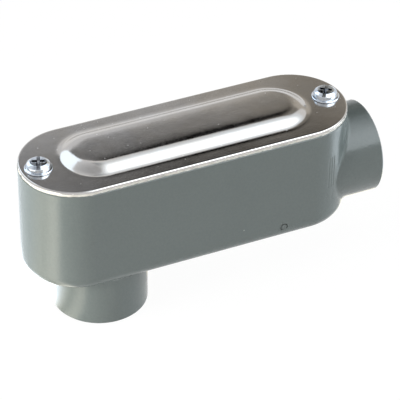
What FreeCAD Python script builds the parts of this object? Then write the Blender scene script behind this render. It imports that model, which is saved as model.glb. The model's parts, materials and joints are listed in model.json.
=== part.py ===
import FreeCAD, Part
import math
import os

import Sketcher

# An angle conduit body (back outlet pattern) for threaded rigid conduit: a die-cast obround box, open
# on top, with one threaded hub in its back and one in its end. A stamped steel cover on a gasket closes
# it, held down by two screws.
# The origin is the centre of the back hub's mouth. +X runs along the box to the end hub, +Z up to the
# cover.

doc = FreeCAD.newDocument("ConduitBody")

# ---- Driving sizes, in millimetres (angles in degrees) ----

SIZES = [
    ("body_length", 123.0, "box, over its two round ends"),
    ("body_width", 39.7, "box, side to side"),
    ("body_depth", 41.4, "box, from the back's outer face to the rim"),
    ("side_wall", 2.6, "box wall at the rim"),
    ("back_wall", 3.2, "box wall at the back"),
    ("back_round", 4.9, "outer round between the sides and the back"),
    ("inside_bevel", 2.2, "inner corner between the sides and the back"),
    ("rim_bevel", 0.3, "softened outer edge of the rim"),
    ("hub_setback", 28.05, "closed end's outermost point to the back hub's axis"),
    ("back_hub_diameter", 34.5, "back hub, outside"),
    ("back_hub_reach", 19.0, "back hub, from its mouth to the box's back"),
    ("end_hub_diameter", 34.0, "end hub, outside"),
    ("end_hub_reach", 9.8, "end hub, from its mouth to the box's outermost point"),
    ("end_hub_lift", 0.4, "box's back to the end hub's lowest line"),
    ("end_blend", 2.2, "hollow round between the end hub and the box"),
    ("back_blend", 0.8, "hollow bevel between the back hub and the box"),
    ("hub_edge_bevel", 0.5, "outer edge of a hub's mouth"),
    ("thread_diameter", 23.7, "hub bore at the thread's crests, 3/4 inch pipe thread"),
    ("thread_depth", 16.0, "mouth to the bushing"),
    ("mouth_bevel", 0.45, "bevel at the mouth's inner edge"),
    ("bushing_step", 1.45, "how far the smooth bushings stand in from the thread's crests"),
    ("bushing_thickness", 3.0, "end hub's bushing, along its axis"),
    ("bushing_bevel", 0.9, "inner lips of both bushings, where the wires turn"),
    ("inner_hub_wall", 2.6, "wall of the end hub where it stands inside the box"),
    ("screw_inset", 6.55, "box's outermost point to the cover screw's axis"),
    ("screw_boss_diameter", 8.8, "boss under each cover screw"),
    ("screw_diameter", 4.1, "screw shank, number 8"),
    ("screw_length", 9.5, "under the head"),
    ("tapped_clearance", 0.06, "between shank and tapped hole, all round"),
    ("tapped_spare", 1.4, "screw's end to the end of the tapped hole"),
    ("gasket_thickness", 0.85, "pressed gasket"),
    ("gasket_band", 4.6, "width of the gasket's band"),
    ("gasket_inset", 0.1, "box's edge to the gasket's edge"),
    ("hole_clearance", 0.35, "between shank and the holes in cover and gasket, all round"),
    ("cover_sheet", 0.95, "cover's sheet steel"),
    ("cover_inset", 0.15, "box's edge to the cover's edge"),
    ("cover_edge_bevel", 0.35, "broken upper edge of the cover"),
    ("panel_end_margin", 14.9, "box's outermost point to the raised panel's foot, at the ends"),
    ("panel_side_margin", 6.55, "box's edge to the raised panel's foot, at the sides"),
    ("panel_rise", 2.6, "raised panel above the cover's flange"),
    ("panel_slope", 4.2, "width of the panel's sloping border"),
    ("panel_foot_bend", 1.2, "hollow bend at the panel's foot, outside"),
    ("panel_top_bend", 1.9, "bend at the panel's top, outside"),
    ("flange_diameter", 10.0, "washer flange under the screw's head"),
    ("flange_thickness", 0.75, "washer flange"),
    ("head_diameter", 8.2, "screw's pan head"),
    ("head_height", 3.0, "from the cover to the top of the head"),
    ("head_shoulder", 1.1, "slope at the head's shoulder"),
    ("slot_width", 1.15, "driver slot"),
    ("slot_depth", 1.0, "driver slot"),
    ("closed_end_slot_angle", 68.0, "where that screw's slot stopped, from +X"),
    ("hub_end_slot_angle", 53.0, "where that screw's slot stopped, from +X"),
]

sheet = doc.addObject("Spreadsheet::Sheet", "Sizes")
for row, (alias, number, note) in enumerate(SIZES, start=1):
    sheet.set("A%d" % row, note)
    sheet.set("B%d" % row, str(number))
    sheet.setAlias("B%d" % row, alias)
doc.recompute()

# ---- Places that follow from the sizes ----

BACK_Z = "Sizes.back_hub_reach"
RIM_Z = "(Sizes.back_hub_reach + Sizes.body_depth)"
COVER_Z = "(Sizes.back_hub_reach + Sizes.body_depth + Sizes.gasket_thickness)"
COVER_TOP_Z = "(Sizes.back_hub_reach + Sizes.body_depth + Sizes.gasket_thickness + Sizes.cover_sheet)"
MIDDLE_X = "(Sizes.body_length / 2 - Sizes.hub_setback)"
END_MOUTH_X = "(Sizes.body_length - Sizes.hub_setback + Sizes.end_hub_reach)"
END_AXIS_Z = "(Sizes.back_hub_reach + Sizes.end_hub_lift + Sizes.end_hub_diameter / 2)"
CAVITY_DEPTH = "(Sizes.body_depth - Sizes.back_wall)"
END_TUNNEL = "(Sizes.thread_depth + Sizes.bushing_thickness)"
THROAT_DIAMETER = "(Sizes.thread_diameter - 2 * Sizes.bushing_step)"
INNER_HUB_DIAMETER = "(Sizes.thread_diameter + 2 * Sizes.inner_hub_wall)"
SCREW_SPACING = "(Sizes.body_length - 2 * Sizes.screw_inset)"
TAPPED_DIAMETER = "(Sizes.screw_diameter + 2 * Sizes.tapped_clearance)"
TAPPED_DEPTH = "(Sizes.screw_length - Sizes.cover_sheet - Sizes.gasket_thickness + Sizes.tapped_spare)"
HOLE_DIAMETER = "(Sizes.screw_diameter + 2 * Sizes.hole_clearance)"
PANEL_LENGTH = "(Sizes.body_length - 2 * Sizes.panel_end_margin)"
PANEL_WIDTH = "(Sizes.body_width - 2 * Sizes.panel_side_margin)"
TINY = 0.01


def value(expression):
    return float(sheet.evalExpression(expression))


# ---- Helpers for sketches and features ----


def new_body(label):
    body = doc.addObject("PartDesign::Body", label)
    body.Label = label
    return body


def new_sketch(body, name, plane="XY_Plane", **offset):
    """A sketch on one of the body's own planes, moved by expressions in the sketch's x, y and z."""
    sketch = body.newObject("Sketcher::SketchObject", name)
    support = next(f for f in body.Origin.OriginFeatures if f.Role == plane)
    sketch.AttachmentSupport = [(support, "")]
    sketch.MapMode = "FlatFace"
    for axis, expression in offset.items():
        sketch.setExpression(".AttachmentOffset.Base.%s" % axis, expression)
    return sketch


def bind(sketch, name, expression, constraint):
    """Add one driven size to a sketch, under a name, and tie it to the sheet."""
    index = sketch.addConstraint(constraint)
    sketch.renameConstraint(index, name)
    sketch.setExpression("Constraints.%s" % name, expression)


def draw_circle(sketch, diameter, at_x="0"):
    name = "ring%d" % sketch.GeometryCount
    size, place = value(diameter), value(at_x)
    circle = Part.Circle(FreeCAD.Vector(place, 0, 0), FreeCAD.Vector(0, 0, 1), size / 2)
    ring = sketch.addGeometry(circle)
    bind(sketch, name, diameter, Sketcher.Constraint("Diameter", ring, size))
    if at_x == "0":
        sketch.addConstraint(Sketcher.Constraint("Coincident", ring, 3, -1, 1))
    else:
        sketch.addConstraint(Sketcher.Constraint("PointOnObject", ring, 3, -1))
        bind(sketch, name + "_at", at_x, Sketcher.Constraint("DistanceX", -1, 1, ring, 3, place))


def draw_obround(sketch, length, width):
    """An obround centred on the sketch's origin, its length over the round ends."""
    radius, half = value(width) / 2, (value(length) - value(width)) / 2
    up = FreeCAD.Vector(0, 0, 1)
    right = Part.ArcOfCircle(
        Part.Circle(FreeCAD.Vector(half, 0, 0), up, radius), -math.pi / 2, math.pi / 2
    )
    left = Part.ArcOfCircle(
        Part.Circle(FreeCAD.Vector(-half, 0, 0), up, radius), math.pi / 2, 3 * math.pi / 2
    )
    far = Part.LineSegment(FreeCAD.Vector(half, radius, 0), FreeCAD.Vector(-half, radius, 0))
    near = Part.LineSegment(FreeCAD.Vector(-half, -radius, 0), FreeCAD.Vector(half, -radius, 0))
    right, far, left, near = [sketch.addGeometry(g) for g in (right, far, left, near)]
    for first, second in ((right, far), (far, left), (left, near), (near, right)):
        sketch.addConstraint(Sketcher.Constraint("Tangent", first, 2, second, 1))
    sketch.addConstraint(Sketcher.Constraint("Equal", right, left))
    sketch.addConstraint(Sketcher.Constraint("Symmetric", right, 3, left, 3, -1, 1))
    sketch.addConstraint(Sketcher.Constraint("PointOnObject", right, 3, -1))
    end = "obround%d" % right
    bind(sketch, end + "_width", "%s / 2" % width, Sketcher.Constraint("Radius", right, radius))
    apart = Sketcher.Constraint("DistanceX", left, 3, right, 3, 2 * half)
    bind(sketch, end + "_centres", "%s - %s" % (length, width), apart)


def draw_rectangle(sketch, length, width):
    """A rectangle centred on the sketch's origin."""
    x, y = value(length) / 2, value(width) / 2
    corners = [FreeCAD.Vector(*c) for c in ((-x, -y, 0), (x, -y, 0), (x, y, 0), (-x, y, 0))]
    sides = [sketch.addGeometry(Part.LineSegment(corners[i - 1], corners[i])) for i in range(4)]
    for i, side in enumerate(sides):
        sketch.addConstraint(Sketcher.Constraint("Coincident", sides[i - 1], 2, side, 1))
        along = "Vertical" if i % 2 == 0 else "Horizontal"
        sketch.addConstraint(Sketcher.Constraint(along, side))
    sketch.addConstraint(Sketcher.Constraint("Symmetric", sides[1], 1, sides[2], 2, -1, 1))
    bind(sketch, "length", length, Sketcher.Constraint("DistanceX", sides[1], 1, sides[1], 2, 2 * x))
    bind(sketch, "width", width, Sketcher.Constraint("DistanceY", sides[2], 1, sides[2], 2, 2 * y))


def extrude(body, kind, name, sketch, length, reverse=False, taper=None):
    """A Pad or a Pocket, tied to the sheet. One that changes no volume points the wrong way."""
    before = body.Shape.Volume if body.Tip and not body.Shape.isNull() else 0.0
    feature = body.newObject("PartDesign::%s" % kind, name)
    feature.Profile = sketch
    feature.Reversed = reverse
    feature.setExpression("Length", length)
    if taper:
        feature.setExpression("TaperAngle", taper)
    doc.recompute()
    if abs(body.Shape.Volume - before) < TINY:
        raise RuntimeError("%s changes nothing" % name)
    return feature


def dress(body, kind, name, size, size_property, test):
    """A Fillet or a Chamfer on the edges of the tip that the test picks."""
    tip = body.Tip
    edges = ["Edge%d" % i for i, edge in enumerate(tip.Shape.Edges, start=1) if test(edge)]
    if not edges:
        raise RuntimeError("%s finds no edge" % name)
    feature = body.newObject("PartDesign::%s" % kind, name)
    feature.Base = (tip, edges)
    feature.setExpression(size_property, size)
    doc.recompute()
    return feature


def round_off(body, name, size, test):
    return dress(body, "Fillet", name, size, "Radius", test)


def bevel(body, name, size, test):
    return dress(body, "Chamfer", name, size, "Size", test)


def spots(edge):
    """Some points along an edge, its ends among them."""
    return edge.discretize(Number=5)


def at_height(z):
    return lambda edge: all(abs(p.z - z) < TINY for p in spots(edge))


def on_obround(z, half_width, half_straight):
    """Picks the edges of an obround at one height, centred on the origin."""

    def test(edge):
        across = [math.hypot(max(abs(p.x) - half_straight, 0), p.y) for p in spots(edge)]
        return at_height(z)(edge) and all(abs(a - half_width) < TINY for a in across)

    return test


def on_cylinder(p, diameter, along, through):
    """Is a point on the cylinder of this diameter about the line along X or Z?"""
    across = p - FreeCAD.Vector(*through)
    reach = math.hypot(across.y, across.z) if along == "x" else math.hypot(across.x, across.y)
    return abs(reach - value(diameter) / 2) < TINY


def on_rings(diameter, rings):
    """Picks the circles of this diameter about the given axes, each in the plane of its centre."""

    def is_ring(edge, along, centre):
        ahead = [getattr(p - FreeCAD.Vector(*centre), along) for p in spots(edge)]
        on_axis = all(on_cylinder(p, diameter, along, centre) for p in spots(edge))
        return on_axis and all(abs(a) < TINY for a in ahead)

    return lambda edge: any(is_ring(edge, along, centre) for along, centre in rings)


# ---- Body casting: box, two hubs, inner bosses ----


def make_box(body):
    outline = new_sketch(body, "BoxOutline", x=MIDDLE_X, z=BACK_Z)
    draw_obround(outline, "Sizes.body_length", "Sizes.body_width")
    extrude(body, "Pad", "Box", outline, "Sizes.body_depth")
    round_off(body, "BackRound", "Sizes.back_round", at_height(value(BACK_Z)))
    bevel(body, "RimBevel", "Sizes.rim_bevel", at_height(value(RIM_Z)))


def make_hubs(body):
    """Both hubs run into the box's wall; the cavity trims them flush inside."""
    end_ring = new_sketch(body, "EndHubRing", "YZ_Plane", y=END_AXIS_Z, z=END_MOUTH_X)
    draw_circle(end_ring, "Sizes.end_hub_diameter")
    into_box = "Sizes.end_hub_reach + Sizes.body_width / 2"
    extrude(body, "Pad", "EndHub", end_ring, into_box, reverse=True)
    mouth_x, axis_point = value(END_MOUTH_X), (0, 0, value(END_AXIS_Z))

    def meets_box_end(edge):
        on_hub = all(on_cylinder(p, "Sizes.end_hub_diameter", "x", axis_point) for p in spots(edge))
        return on_hub and all(p.x < mouth_x - TINY for p in spots(edge))

    round_off(body, "EndBlend", "Sizes.end_blend", meets_box_end)

    back_ring = new_sketch(body, "BackHubRing")
    draw_circle(back_ring, "Sizes.back_hub_diameter")
    extrude(body, "Pad", "BackHub", back_ring, "Sizes.back_hub_reach + Sizes.back_round")

    def meets_box_back(edge):
        on_hub = all(on_cylinder(p, "Sizes.back_hub_diameter", "z", (0, 0, 0)) for p in spots(edge))
        return on_hub and all(p.z > TINY for p in spots(edge))

    bevel(body, "BackBlend", "Sizes.back_blend", meets_box_back)

    def is_mouth_edge(edge):
        return at_height(0)(edge) or all(abs(p.x - mouth_x) < TINY for p in spots(edge))

    bevel(body, "HubEdges", "Sizes.hub_edge_bevel", is_mouth_edge)


def make_cavity(body):
    outline = new_sketch(body, "CavityOutline", x=MIDDLE_X, z=RIM_Z)
    inner = "(Sizes.%s - 2 * Sizes.side_wall)"
    draw_obround(outline, inner % "body_length", inner % "body_width")
    extrude(body, "Pocket", "Cavity", outline, CAVITY_DEPTH)
    floor = value(RIM_Z) - value(CAVITY_DEPTH)
    bevel(body, "InsideBevel", "Sizes.inside_bevel", at_height(floor))


def make_inner_hub(body):
    """The end hub's thread is longer than its reach, so its bushing stands inside the box."""
    face_x = "%s - %s" % (END_MOUTH_X, END_TUNNEL)
    ring = new_sketch(body, "InnerHubRing", "YZ_Plane", y=END_AXIS_Z, z=face_x)
    draw_circle(ring, INNER_HUB_DIAMETER)
    into_wall = "%s - Sizes.end_hub_reach - Sizes.side_wall / 2" % END_TUNNEL
    extrude(body, "Pad", "InnerHub", ring, into_wall)


def make_bores(body):
    """The bores at the thread's crests, each ending on an integral bushing."""
    back_floor = value(BACK_Z) + value("Sizes.back_wall")
    thread = "Sizes.thread_diameter"
    end_x, end_z = value(END_MOUTH_X), value(END_AXIS_Z)

    mouth = new_sketch(body, "BackThreadRing")
    draw_circle(mouth, thread)
    extrude(body, "Pocket", "BackThread", mouth, "Sizes.thread_depth", reverse=True)
    neck = new_sketch(body, "BackThroatRing")
    draw_circle(neck, THROAT_DIAMETER)
    to_floor = "%s + 2 * Sizes.back_wall" % BACK_Z
    extrude(body, "Pocket", "BackThroat", neck, to_floor, reverse=True)

    mouth = new_sketch(body, "EndThreadRing", "YZ_Plane", y=END_AXIS_Z, z=END_MOUTH_X)
    draw_circle(mouth, thread)
    extrude(body, "Pocket", "EndThread", mouth, "Sizes.thread_depth")
    neck = new_sketch(body, "EndThroatRing", "YZ_Plane", y=END_AXIS_Z, z=END_MOUTH_X)
    draw_circle(neck, THROAT_DIAMETER)
    extrude(body, "Pocket", "EndThroat", neck, END_TUNNEL + " + Sizes.side_wall")

    lips = [("z", (0, 0, back_floor)), ("x", (end_x - value(END_TUNNEL), 0, end_z))]
    bevel(body, "BushingLips", "Sizes.bushing_bevel", on_rings(THROAT_DIAMETER, lips))
    mouths = [("z", (0, 0, 0)), ("x", (end_x, 0, end_z))]
    bevel(body, "MouthBevels", "Sizes.mouth_bevel", on_rings(thread, mouths))


def make_screw_bosses(body):
    """One boss runs down to the box's back, the other stands on the inner hub."""
    inner_hub_top = "(%s + %s / 2)" % (END_AXIS_Z, INNER_HUB_DIAMETER)
    onto_inner_hub = "%s - %s + Sizes.inner_hub_wall / 2" % (RIM_Z, inner_hub_top)
    for name, side, height in (("ClosedEnd", "-", CAVITY_DEPTH), ("HubEnd", "+", onto_inner_hub)):
        axis_x = "%s %s %s / 2" % (MIDDLE_X, side, SCREW_SPACING)
        ring = new_sketch(body, name + "BossRing", x=axis_x, z=RIM_Z)
        draw_circle(ring, "Sizes.screw_boss_diameter")
        extrude(body, "Pad", name + "Boss", ring, height, reverse=True)


def make_tapped_holes(body):
    rings = new_sketch(body, "TappedHoleRings", x=MIDDLE_X, z=RIM_Z)
    draw_circle(rings, TAPPED_DIAMETER, "-%s / 2" % SCREW_SPACING)
    draw_circle(rings, TAPPED_DIAMETER, "%s / 2" % SCREW_SPACING)
    doc.recompute()
    holes = body.newObject("PartDesign::Hole", "TappedHoles")
    holes.Profile = rings
    holes.ThreadType = "None"
    holes.HoleCutType = "None"
    holes.DepthType = "Dimension"
    holes.DrillPoint = "Flat"
    holes.setExpression("Diameter", TAPPED_DIAMETER)
    holes.setExpression("Depth", TAPPED_DEPTH)
    doc.recompute()


def make_body_casting():
    body = new_body("body_casting")
    make_box(body)
    make_hubs(body)
    make_cavity(body)
    make_inner_hub(body)
    make_bores(body)
    make_screw_bosses(body)
    make_tapped_holes(body)
    return body


# ---- Gasket ----


def make_gasket():
    """A die-cut band under the cover's edge, wider at the ends where the screws pass."""
    body = new_body("cover_gasket")
    outline = new_sketch(body, "GasketOutline")
    outer = "(Sizes.%s - 2 * Sizes.gasket_inset)"
    draw_obround(outline, outer % "body_length", outer % "body_width")
    extrude(body, "Pad", "GasketSheet", outline, "Sizes.gasket_thickness")
    window = new_sketch(body, "GasketWindow")
    between_screws = "(%s - Sizes.screw_boss_diameter)" % SCREW_SPACING
    draw_obround(window, between_screws, "(Sizes.body_width - 2 * Sizes.gasket_band)")
    extrude(body, "Pocket", "Window", window, "Sizes.gasket_thickness", reverse=True)
    cut_screw_holes(body, "Sizes.gasket_thickness")
    body.setExpression(".Placement.Base.x", MIDDLE_X)
    body.setExpression(".Placement.Base.z", RIM_Z)
    return body


def cut_screw_holes(body, depth):
    rings = new_sketch(body, "ScrewHoleRings")
    draw_circle(rings, HOLE_DIAMETER, "-%s / 2" % SCREW_SPACING)
    draw_circle(rings, HOLE_DIAMETER, "%s / 2" % SCREW_SPACING)
    extrude(body, "Pocket", "ScrewHoles", rings, depth, reverse=True)


# ---- Cover ----


def make_cover():
    """Stamped sheet: a flat flange and a raised panel with sloping borders, hollow underneath."""
    body = new_body("cover")
    sheet_top = value("Sizes.cover_sheet")
    slope = "atan(Sizes.panel_slope / Sizes.panel_rise)"
    inner_shift = "(Sizes.cover_sheet * tan(atan(Sizes.panel_rise / Sizes.panel_slope) / 2))"

    outline = new_sketch(body, "CoverOutline")
    outer = "(Sizes.%s - 2 * Sizes.cover_inset)"
    draw_obround(outline, outer % "body_length", outer % "body_width")
    extrude(body, "Pad", "Flange", outline, "Sizes.cover_sheet")

    foot = new_sketch(body, "PanelFoot", z="Sizes.cover_sheet")
    draw_obround(foot, PANEL_LENGTH, PANEL_WIDTH)
    extrude(body, "Pad", "Panel", foot, "Sizes.panel_rise", taper="-%s" % slope)
    inner = "(%s - 2 * %s)"
    hollow = new_sketch(body, "HollowFoot")
    draw_obround(hollow, inner % (PANEL_LENGTH, inner_shift), inner % (PANEL_WIDTH, inner_shift))
    extrude(body, "Pocket", "Hollow", hollow, "Sizes.panel_rise", reverse=True, taper="-%s" % slope)

    foot_half = value(PANEL_WIDTH) / 2
    top_half = foot_half - value("Sizes.panel_slope")
    panel_straight = value(PANEL_LENGTH) / 2 - foot_half
    round_off(body, "FootBend", "Sizes.panel_foot_bend", on_obround(sheet_top, foot_half, panel_straight))
    panel_top = sheet_top + value("Sizes.panel_rise")
    round_off(body, "TopBend", "Sizes.panel_top_bend", on_obround(panel_top, top_half, panel_straight))

    cover_half = value("Sizes.body_width") / 2 - value("Sizes.cover_inset")
    box_straight = (value("Sizes.body_length") - value("Sizes.body_width")) / 2
    rim = on_obround(sheet_top, cover_half, box_straight)
    bevel(body, "BrokenEdge", "Sizes.cover_edge_bevel", rim)
    cut_screw_holes(body, "Sizes.cover_sheet")
    body.setExpression(".Placement.Base.x", MIDDLE_X)
    body.setExpression(".Placement.Base.z", COVER_Z)
    return body


# ---- Cover screws ----


def make_screw(label, side, angle):
    """Slotted pan screw with a washer flange, its seat at z = 0."""
    body = new_body(label)
    shank = new_sketch(body, "ShankRing")
    draw_circle(shank, "Sizes.screw_diameter")
    extrude(body, "Pad", "Shank", shank, "Sizes.screw_length", reverse=True)
    flange = new_sketch(body, "FlangeRing")
    draw_circle(flange, "Sizes.flange_diameter")
    extrude(body, "Pad", "WasherFlange", flange, "Sizes.flange_thickness")
    head = new_sketch(body, "HeadRing")
    draw_circle(head, "Sizes.head_diameter")
    extrude(body, "Pad", "PanHead", head, "Sizes.head_height")
    bevel(body, "Shoulder", "Sizes.head_shoulder", at_height(value("Sizes.head_height")))

    slot = new_sketch(body, "SlotOutline", z="Sizes.head_height")
    draw_rectangle(slot, "Sizes.flange_diameter", "Sizes.slot_width")
    extrude(body, "Pocket", "Slot", slot, "Sizes.slot_depth")
    body.Placement = FreeCAD.Placement(
        FreeCAD.Vector(0, 0, 0), FreeCAD.Rotation(FreeCAD.Vector(0, 0, 1), value(angle))
    )
    body.setExpression(".Placement.Base.x", "%s %s %s / 2" % (MIDDLE_X, side, SCREW_SPACING))
    body.setExpression(".Placement.Base.z", COVER_TOP_Z)
    body.setExpression(".Placement.Rotation.Angle", angle)
    return body


# ---- Build, check and write ----

parts = [
    make_body_casting(),
    make_gasket(),
    make_cover(),
    make_screw("cover_screw_closed_end", "-", "Sizes.closed_end_slot_angle"),
    make_screw("cover_screw_hub_end", "+", "Sizes.hub_end_slot_angle"),
]
doc.recompute()

for item in doc.Objects:
    if "Invalid" in item.State or "Error" in item.State:
        raise RuntimeError("%s failed: %s" % (item.Label, item.State))
for part in parts:
    if part.Shape.isNull() or not part.Shape.isValid() or len(part.Shape.Solids) != 1:
        raise RuntimeError("%s is not one valid solid" % part.Label)

os.makedirs("parts", exist_ok=True)
for part in parts:
    part.Shape.exportStep("parts/%s.step" % part.Label)
    box = part.Shape.optimalBoundingBox(False)
    print("%-24s %8.0f mm3  x %.2f..%.2f  y %.2f..%.2f  z %.2f..%.2f" % (
        part.Label, part.Shape.Volume, box.XMin, box.XMax, box.YMin, box.YMax, box.ZMin, box.ZMax))
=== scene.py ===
import json
import math

import bmesh
import bpy
from mathutils import Matrix, Vector, noise


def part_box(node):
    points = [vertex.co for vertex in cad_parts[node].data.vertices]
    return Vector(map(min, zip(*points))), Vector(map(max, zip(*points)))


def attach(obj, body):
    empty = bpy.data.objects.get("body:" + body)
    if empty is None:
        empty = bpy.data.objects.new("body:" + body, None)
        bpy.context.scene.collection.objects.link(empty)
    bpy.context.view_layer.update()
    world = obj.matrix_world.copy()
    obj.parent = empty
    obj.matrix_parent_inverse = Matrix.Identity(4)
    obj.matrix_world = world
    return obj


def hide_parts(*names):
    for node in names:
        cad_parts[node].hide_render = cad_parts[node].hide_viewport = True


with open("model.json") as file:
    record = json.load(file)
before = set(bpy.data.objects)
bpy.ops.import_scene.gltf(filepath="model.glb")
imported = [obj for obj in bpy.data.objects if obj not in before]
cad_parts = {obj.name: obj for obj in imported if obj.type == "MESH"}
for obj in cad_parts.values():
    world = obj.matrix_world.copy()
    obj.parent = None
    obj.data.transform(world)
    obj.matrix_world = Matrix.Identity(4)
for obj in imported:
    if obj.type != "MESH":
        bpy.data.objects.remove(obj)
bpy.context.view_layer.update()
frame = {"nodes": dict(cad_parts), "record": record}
scene = bpy.context.scene
mm = 0.001
print("frame loaded:", ", ".join(sorted(frame["nodes"])))


def feed(tree, socket, value):
    # another node's output is linked, and anything else is set
    if isinstance(value, bpy.types.NodeSocket):
        tree.links.new(value, socket)
    elif socket.type == "RGBA":
        socket.default_value = (*value, 1)
    else:
        socket.default_value = value


def addNode(tree, kind, settings=None, **inputs):
    # i0, i1 and so on are inputs by number; other names are theirs, with _ for a space
    node = tree.nodes.new(kind)
    for name, value in (settings or {}).items():
        setattr(node, name, value)
    for name, value in inputs.items():
        key = int(name[1:]) if name[0] == "i" and name[1:].isdigit() else name.replace("_", " ")
        feed(tree, node.inputs[key], value)
    return node


def calc(tree, operation, *values):
    return addNode(tree, "ShaderNodeMath", {"operation": operation},
                   **{"i%d" % k: v for k, v in enumerate(values)}).outputs[0]


def newObject(name, mesh):
    piece = bpy.data.objects.new(name, mesh)
    scene.collection.objects.link(piece)
    return piece


def meshFrom(bm, name):
    mesh = bpy.data.meshes.new(name)
    bm.to_mesh(mesh)
    bm.free()
    return mesh


def settle(piece, name):
    # the evaluated shape as a plain mesh, in place of the piece and its modifiers
    bpy.context.view_layer.update()
    depsgraph = bpy.context.evaluated_depsgraph_get()
    mesh = bpy.data.meshes.new_from_object(piece.evaluated_get(depsgraph), depsgraph=depsgraph)
    bpy.data.objects.remove(piece)
    mesh.name = name
    return newObject(name, mesh)


def dress(piece, material):
    piece.data.materials.clear()
    piece.data.materials.append(material)
    piece.data.polygons.foreach_set("material_index", [0] * len(piece.data.polygons))


def tidyShell(mesh, gap=0.0005 * mm):
    # doubles merged, slivers gone, normals outwards
    bm = bmesh.new()
    bm.from_mesh(mesh)
    bmesh.ops.remove_doubles(bm, verts=bm.verts, dist=gap)
    bmesh.ops.dissolve_degenerate(bm, edges=bm.edges, dist=gap)
    bmesh.ops.recalc_face_normals(bm, faces=bm.faces)
    bm.to_mesh(mesh)
    bm.free()


def combine(piece, others, operation, name):
    for other in others:
        step = piece.modifiers.new(other.name, "BOOLEAN")
        step.operation = operation
        step.solver = "MANIFOLD"
        step.object = other
    result = settle(piece, name)
    for other in others:
        bpy.data.objects.remove(other)
    return result


def smooth(piece, angle, weighted=True):
    # smooth shading, sharp where faces meet at more than the angle, in degrees
    mesh = piece.data
    mesh.shade_smooth()
    mesh.set_sharp_from_angle(angle=math.radians(angle))
    if weighted:
        step = piece.modifiers.new("evenNormals", "WEIGHTED_NORMAL")
        step.keep_sharp = True
        step.weight = 100


def treeWith(name, sockets):
    # a geometry tree with named inputs, the inputs' identifiers, and the inputs themselves
    tree = bpy.data.node_groups.new(name, "GeometryNodeTree")
    names = {}
    for label, kind in sockets:
        socket = tree.interface.new_socket(label, in_out="INPUT", socket_type=kind)
        names[label] = socket.identifier
    tree.interface.new_socket("Geometry", in_out="OUTPUT", socket_type="NodeSocketGeometry")
    given = tree.nodes.new("NodeGroupInput")
    return tree, names, given.outputs


def finishTree(tree, geometry, material):
    real = addNode(tree, "GeometryNodeRealizeInstances", i0=geometry)
    dressed = addNode(tree, "GeometryNodeSetMaterial", i0=real.outputs[0], Material=material)
    out = tree.nodes.new("NodeGroupOutput")
    tree.links.new(dressed.outputs[0], out.inputs[0])


def runTree(tree, names, values, name):
    piece = newObject(name, bpy.data.meshes.new(name))
    step = piece.modifiers.new(name, "NODES")
    step.node_group = tree
    for label, value in values.items():
        step[names[label]] = value
    return settle(piece, name)


def sectionObject(name, points, cyclic=False):
    curve = bpy.data.curves.new(name, "CURVE")
    curve.dimensions = "3D"
    spline = curve.splines.new("POLY")
    spline.points.add(len(points) - 1)
    for point, place in zip(spline.points, points):
        point.co = (*place, 1)
    spline.use_cyclic_u = cyclic
    return newObject(name, curve)


def makeRailTree():
    # an obround shell: each point of the section is one rail, as (half width, half straight, height)
    tree, names, given = treeWith("obroundRails", [
        ("Section", "NodeSocketObject"), ("Rails", "NodeSocketInt"), ("Arc Steps", "NodeSocketInt"),
        ("Material", "NodeSocketMaterial")])
    section = addNode(tree, "GeometryNodeObjectInfo", i0=given["Section"])
    lastRail = calc(tree, "SUBTRACT", given["Rails"], 1.0)
    columns = calc(tree, "MULTIPLY", given["Arc Steps"], 2.0)
    grid = addNode(tree, "GeometryNodeMeshGrid", i0=lastRail, i1=columns, i2=given["Rails"],
                   i3=calc(tree, "ADD", columns, 1.0))
    place = addNode(tree, "ShaderNodeSeparateXYZ", i0=tree.nodes.new("GeometryNodeInputPosition").outputs[0])
    rail = calc(tree, "ROUND", calc(tree, "ADD", place.outputs[0], calc(tree, "DIVIDE", lastRail, 2.0)))
    step = calc(tree, "ROUND", calc(tree, "ADD", place.outputs[1], calc(tree, "DIVIDE", columns, 2.0)))
    around = calc(tree, "FLOORED_MODULO", step, columns)
    second = calc(tree, "GREATER_THAN", around, calc(tree, "SUBTRACT", given["Arc Steps"], 0.5))
    side = calc(tree, "SUBTRACT", 1.0, calc(tree, "MULTIPLY", second, 2.0))
    onArc = calc(tree, "SUBTRACT", around, calc(tree, "MULTIPLY", second, given["Arc Steps"]))
    turn = calc(tree, "DIVIDE", math.pi, calc(tree, "SUBTRACT", given["Arc Steps"], 1.0))
    angle = calc(tree, "SUBTRACT", calc(tree, "MULTIPLY", onArc, turn),
                 calc(tree, "MULTIPLY", side, math.pi / 2))
    sample = addNode(tree, "GeometryNodeSampleIndex", {"data_type": "FLOAT_VECTOR", "domain": "POINT"},
                     Geometry=section.outputs["Geometry"],
                     Value=tree.nodes.new("GeometryNodeInputPosition").outputs[0], Index=rail)
    sizes = addNode(tree, "ShaderNodeSeparateXYZ", i0=sample.outputs[0])
    x = calc(tree, "ADD", calc(tree, "MULTIPLY", side, sizes.outputs[1]),
             calc(tree, "MULTIPLY", sizes.outputs[0], calc(tree, "COSINE", angle)))
    y = calc(tree, "MULTIPLY", sizes.outputs[0], calc(tree, "SINE", angle))
    spot = addNode(tree, "ShaderNodeCombineXYZ", i0=x, i1=y, i2=sizes.outputs[2])
    shaped = addNode(tree, "GeometryNodeSetPosition", Geometry=grid.outputs[0], Position=spot.outputs[0])
    merged = addNode(tree, "GeometryNodeMergeByDistance", Geometry=shaped.outputs[0], Distance=0.0005 * mm)
    finishTree(tree, merged.outputs[0], given["Material"])
    return tree, names


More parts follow.
